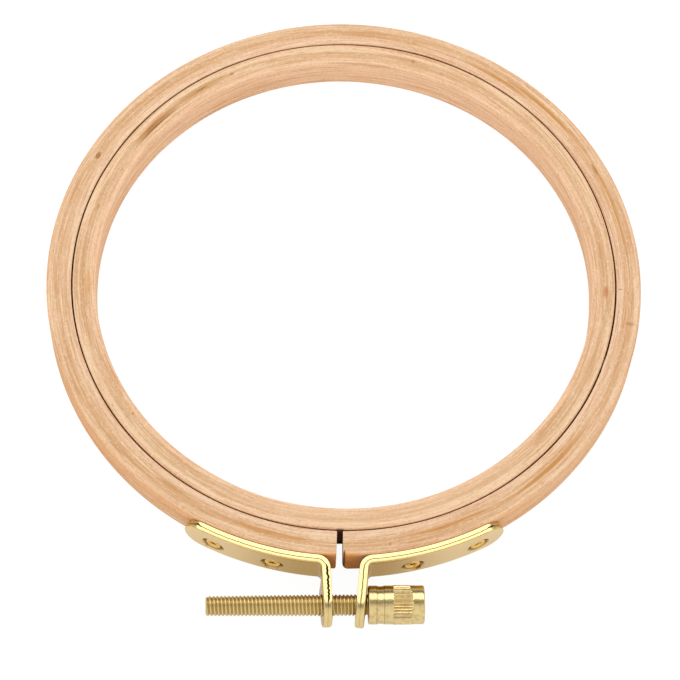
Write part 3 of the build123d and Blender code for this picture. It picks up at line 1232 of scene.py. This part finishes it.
def make_rod():
    upright = Vector((0, 0, 1))
    rows = []
    turns = math.ceil((rod_end - rod_start) / pitch) + 2
    for number in range(turns * profile_steps):
        share = number / profile_steps
        depth = thread_depth * (0.5 - 0.5 * math.cos(2 * math.pi * share)) ** crest_flatness
        row = []
        for step in range(thread_steps + 1):
            angle = 2 * math.pi * step / thread_steps
            along = pitch * (share - 1 + step / thread_steps)
            worn = tip_wear * max(1 - along / worn_length, 0.0)
            radius = min(thread_radius - worn - depth, thread_radius - tip_bevel + along)
            if along < 0 or along > rod_end - rod_start:
                radius = 0.0
            along = min(max(rod_start + along, rod_start), rod_end)
            off = math.cos(angle) * screw_side + math.sin(angle) * upright
            row.append(screw_middle + along * screw_way + radius * off)
        rows.append(row)
    return skin("thumb_screw_rod", rows, close_row=False)


rod = make_rod()
note_turned(rod, screw_middle, screw_way)
print(f"thread of {(rod_end - rod_start) / pitch:.1f} turns")

# %% [markdown]
# ## The knob
# The knob is turned from bar: a short collar, a shallow groove, a neck, a knurled band and a plain
# end. The knurls are straight ribs, rolled in, and the roll was not set square, so the band's far
# end runs out at a slant. A lathe outline gives the shape, and a rule for the ribs changes the
# radius inside the band.

# %% Turn and knurl the knob
collar = 1.25
groove_width = 1.4
groove_depth = 0.13
neck = 1.65
knurl_width = 3.6
knurl_rise = 0.13
knurl_sink = 0.5
knurl_count = 36
socket_radius = thread_radius + fit
socket_depth = knob_socket + fit
groove_start = knob_bevel + collar
knurl_start = groove_start + groove_width + neck
knurl_stop = knurl_start + knurl_width
knob_length = knob_stop - knob_start
knurl_start_run = 0.1
knurl_runout = 0.28
slant = 0.42
slant_turn = 0.6
slant_waver = 0.12
socket_chamfer = 0.25
groove_ease = 0.12
groove_roundness = 0.8
band_lead = 0.02
band_overrun = 0.1
bevel_steps = 5
groove_steps = 12
band_steps = 40
steps_per_knurl = 12
end_loop_share = 0.6


def knurled(along, radius, angle):
    """The radius in the knurled band: ribs that start sharply and run out at a slant."""
    if radius < knob_radius - knurl_rise:
        return radius
    tooth = angle * knurl_count / (2 * math.pi) + 0.5
    place = abs(tooth % 1.0 * 2 - 1)
    rib = place * place * (3 - 2 * place) * 2 - 1
    rough = noise.noise(Vector((math.floor(tooth) * 3.7, 0.5, 8.1)))
    stop = knurl_stop - slant * (1 - math.cos(angle - slant_turn)) + slant_waver * rough
    rise = held((along - knurl_start) / knurl_start_run)
    fall = held((stop - along) / knurl_runout)
    return radius + knurl_rise * (rib - knurl_sink) * rise * fall


def knob_outline():
    bevel_middle = knob_radius - knob_bevel
    stages = [(socket_depth, socket_radius), (socket_chamfer, socket_radius)]
    stages += [(0, socket_radius + socket_chamfer)]
    stages += arc((knob_bevel, bevel_middle), knob_bevel, 2 * quarter_turn, quarter_turn, bevel_steps)
    stages += [(groove_start - groove_ease, knob_radius)]
    for step in range(groove_steps + 1):
        share = step / groove_steps
        dip = math.sin(math.pi * share) ** groove_roundness
        stages.append((groove_start + groove_width * share, knob_radius - groove_depth * dip))
    stages += [(groove_start + groove_width + groove_ease, knob_radius)]
    stages += [(knurl_start - band_lead, knob_radius)]
    band_pitch = (knurl_width + band_overrun) / band_steps
    stages += [(knurl_start + band_pitch * step, knob_radius) for step in range(band_steps + 1)]
    stages += arc((knob_length - knob_bevel, bevel_middle), knob_bevel, quarter_turn, 0.0, bevel_steps)
    return solid_outline(*stages, (knob_length, end_loop_share * knob_radius))


knob_face = screw_middle + knob_start * screw_way
knob_steps = knurl_count * steps_per_knurl
knob = turned("thumb_screw_knob", knob_outline(), knob_face, screw_way, knob_steps, knurled)
note_turned(knob, knob_face, screw_way)
print(f"knob {knob_length:.2f} mm long with {knurl_count} knurls")

# %% [markdown]
# ## Brass
# Four brass finishes: satin plate on the strips, bright rolled rivets, a darker thread and a turned
# knob. Metal has hardly any colour variation of its own, so what makes each one itself is how
# rough it is, where it holds dirt and where painted shade darkens it. Fine noise moves the
# roughness, and the marks stored on the meshes say where the torn edge and the valleys are.
#
# The strips' plate comes first. Painted shade darkens its satin faces by the lugs, as the table's
# shadow would in their mirror. Its torn line is dull brown, which painted shade takes nearly to black
# on the left lug and near the tips, and painted shade browns its countersinks.

# %% Plate for the strips
# Where painted shade darkens the plate: towards the lugs and in the countersinks.
painted_lug_shade_start, painted_lug_shade_full = 23.0, 6.0
painted_recess_shade_start, painted_recess_shade_full = 0.03, 0.4
recess_inset_start, recess_inset_full = 0.25, 0.5
edge_shade_start, edge_shade_full = 0.02, 0.2


def plate():
    """Satin brass plate: painted shade by the lugs and in its recesses, and a dull torn line that painted
    shade darkens.
    """
    metal = new_finish("brass_plate")
    torn, inset, black = metal.parts(metal.stored("edge"))
    place = metal.stored("strip")
    _, depth, _ = metal.parts(place)
    from_split, _, _ = metal.parts(metal.rest_place())
    below = strip_thickness - depth
    # Painted shade: the countersinks' walls are browned, more so further below the face.
    painted_recess_shade_mask = metal.between(below, painted_recess_shade_start, painted_recess_shade_full)
    painted_recess_shade_mask = painted_recess_shade_mask * metal.between(inset, recess_inset_start, recess_inset_full)
    grain = metal.cloudy(place, 14.0, 3.0)
    colour = metal.mix(metal.cloudy(place, 0.5, 2.0), tone(236, 203, 142), tone(232, 202, 148))
    edge = metal.between(below, edge_shade_start, edge_shade_full)
    colour = metal.mix(edge, colour, tone(227, 202, 142))
    # Painted shade: the satin faces darken towards the lugs, as if mirroring the hoop's shadow on the
    # table.
    painted_lug_shade_mask = metal.between(abs(from_split), painted_lug_shade_start * mm, painted_lug_shade_full * mm) * (1 - edge)
    colour = metal.mix(painted_lug_shade_mask * 0.95, colour, tone(188, 148, 64))
    # The torn line's brown is the tear's own dull colour; painted shade takes it nearly to black on the
    # left lug and near the tips.
    torn_share = metal.between(torn, 0.1, 0.5)
    torn_and_painted_shade = metal.mix(black, tone(104, 76, 34), tone(26, 14, 4))
    colour = metal.mix(torn_share * (0.75 + black * 0.22), colour, torn_and_painted_shade)
    colour = metal.mix(painted_recess_shade_mask * 0.8, colour, tone(128, 80, 28))
    rough = 0.24 + (grain - 0.5) * 0.12 + torn_share * 0.3
    bump = metal.bump(grain, 1e-5, 0.3)
    return metal.surface(base_color=colour, metallic=1.0, roughness=rough, normal=bump)


plate_finish = plate()
print("plate has", len(plate_finish.node_tree.nodes), "nodes")

# %% [markdown]
# The screw's two pieces share one way of making a finish, with other numbers. Wear brightens the
# crests and leaves the valleys dull, and a picture of that would have to be wrapped along a helix.
# The radius stored on the mesh says the same without one. The knob also keeps the fine rings of
# the lathe's tool, and a few cloudy patches.

# %% Turned brass for the screw
crest_wear = 0.08
rib_wear = 0.04
wear_waver = 0.1
dirt_fade = 0.1
line_reach, line_core = 0.13, 0.04


def turned_brass(name, colour, dirt, rough, inner, outer, ring_size=0.0, lines=(), dirt_start=-100.0):
    """Brass that is brighter on its outermost metal; inner and outer are radii from its axis."""
    metal = new_finish(name)
    along, radius, _ = metal.parts(metal.stored("turned"))
    place = metal.rest_place()
    grain = metal.cloudy(place, 6000.0, 3.0)
    worn = metal.between(radius + (grain - 0.5) * wear_waver, inner, outer)
    worn = worn.largest(metal.between(along, dirt_start, dirt_start - dirt_fade))
    shade = metal.mix(worn, tone(*dirt), tone(*colour))
    for line in lines:
        dark = metal.between(abs(along - line), line_reach, line_core) * 0.5
        shade = metal.mix(dark, shade, tone(122, 86, 40))
    height = grain
    if ring_size:
        sockets = {"W": along / ring_size, "Scale": 1.0}
        scratches = metal.add("ShaderNodeTexNoise", {"noise_dimensions": "1D"}, sockets)
        shade = metal.mix(metal.between(scratches, 0.5, 0.7) * 0.35, shade, tone(170, 134, 84))
        patches = metal.between(metal.cloudy(place, 1300.0, 3.0), 0.48, 0.6)
        shade = metal.mix(patches * 0.4, shade, tone(184, 154, 112))
        height = grain * 0.5 + scratches
    bump = metal.bump(height, 2e-5, 0.5)
    rough = rough + (grain - 0.5) * 0.2
    return metal.surface(base_color=shade, metallic=1.0, roughness=rough, normal=bump)


rod_finish = turned_brass(
    "brass_thread",
    (218, 196, 140),
    (206, 180, 122),
    0.38,
    thread_radius - thread_depth,
    thread_radius - crest_wear,
)
knob_finish = turned_brass(
    "brass_knob",
    (230, 206, 146),
    (228, 202, 150),
    0.2,
    knob_radius - knurl_rise,
    knob_radius - rib_wear,
    ring_size=0.05,
    lines=(groove_start, groove_start + groove_width),
    dirt_start=knurl_start,
)
print("thread and knob have", rod_finish.name, "and", knob_finish.name)

# %% [markdown]
# The rivets' rolled rings shine, and painted shade browns their hollows and the roll's underside.
# How far a point lies along the rivet's axis is enough to tell one from the other.

# %% Rolled brass for the rivets


def rivet_brass():
    """Rolled brass, browned by painted shade in its hollow and below the roll."""
    metal = new_finish("brass_rivet")
    along, radius, _ = metal.parts(metal.stored("turned"))
    grain = metal.cloudy(metal.rest_place(), 2500.0, 3.0)
    roll_place = strip_outside - roll_sink - roll_radius
    # Painted shade: brown in the hollow and below the roll.
    painted_hollow_shade = metal.between(along, roll_place + roll_radius * 0.5, roll_place - roll_radius * 0.4)
    shade = metal.mix(metal.between(grain, 0.5, 0.75) * 0.4, tone(236, 194, 110), tone(178, 128, 62))
    shade = metal.mix(painted_hollow_shade * 0.9, shade, tone(104, 60, 16))
    bump = metal.bump(grain, 2e-5, 0.5)
    rough = 0.24 + (grain - 0.5) * 0.2
    return metal.surface(base_color=shade, metallic=1.0, roughness=rough, normal=bump)


rivet_finish = rivet_brass()
print("rivets have", rivet_finish.name)

# %% Dress the metal
dress(left_bracket, plate_finish, "left_side", "bracket_plate", "left_bracket")
dress(right_bracket, plate_finish, "root", "bracket_plate", "right_bracket")
for node, rivet in rivets.items():
    body = "left_side" if node.startswith("left") else "root"
    dress(rivet, rivet_finish, body, "rivet_brass", node)
dress(rod, rod_finish, "thumb_screw", "rod_brass", "threaded_rod")
dress(knob, knob_finish, "thumb_screw", "knob_brass", "knurled_knob")
